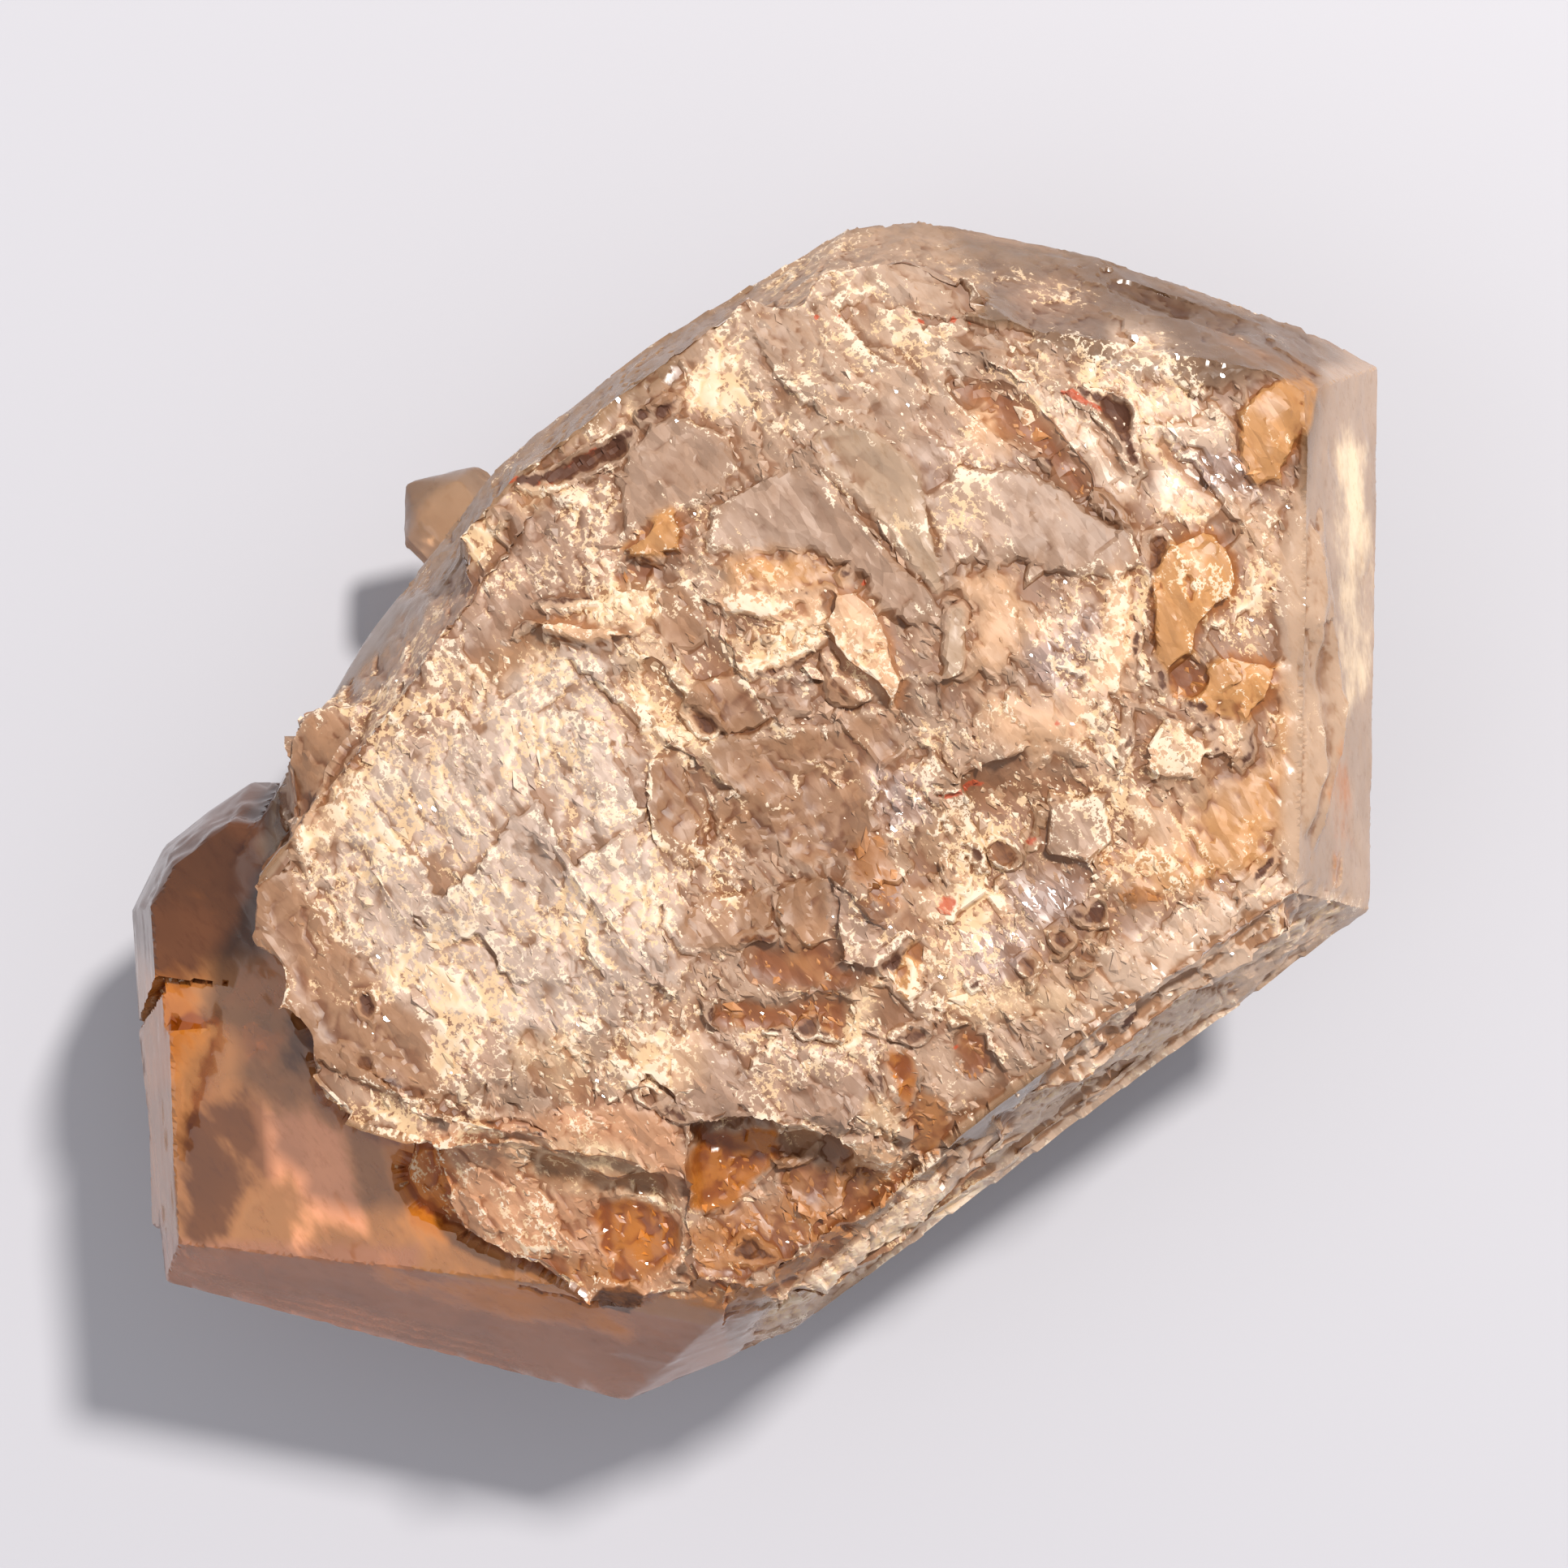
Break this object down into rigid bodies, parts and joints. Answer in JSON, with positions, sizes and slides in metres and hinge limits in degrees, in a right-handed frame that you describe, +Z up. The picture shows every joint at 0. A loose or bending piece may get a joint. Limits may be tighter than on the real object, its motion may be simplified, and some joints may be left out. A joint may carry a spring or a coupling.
{
  "type": "skeletal quartz crystal",
  "caption": "flattened, doubly ended smoky skeletal quartz crystal with a rough ledged front, a lower clear block and a flat back to rest on",
  "frame": {"origin": "centre of the bounding box at the height of the flat back", "axes": "+X along the crystal's length to the pointed upper right end, +Y across it, +Z up through the rough front"},
  "size_m": [0.0791, 0.0493, 0.0322],
  "materials": {
    "smoky_quartz": "translucent smoky quartz, glassy on its flat faces and frosted with a cream crust on its rough front"
  },
  "bodies": {
    "root": {"skeletal_quartz": "smoky_quartz"}
  },
  "joints": []
}
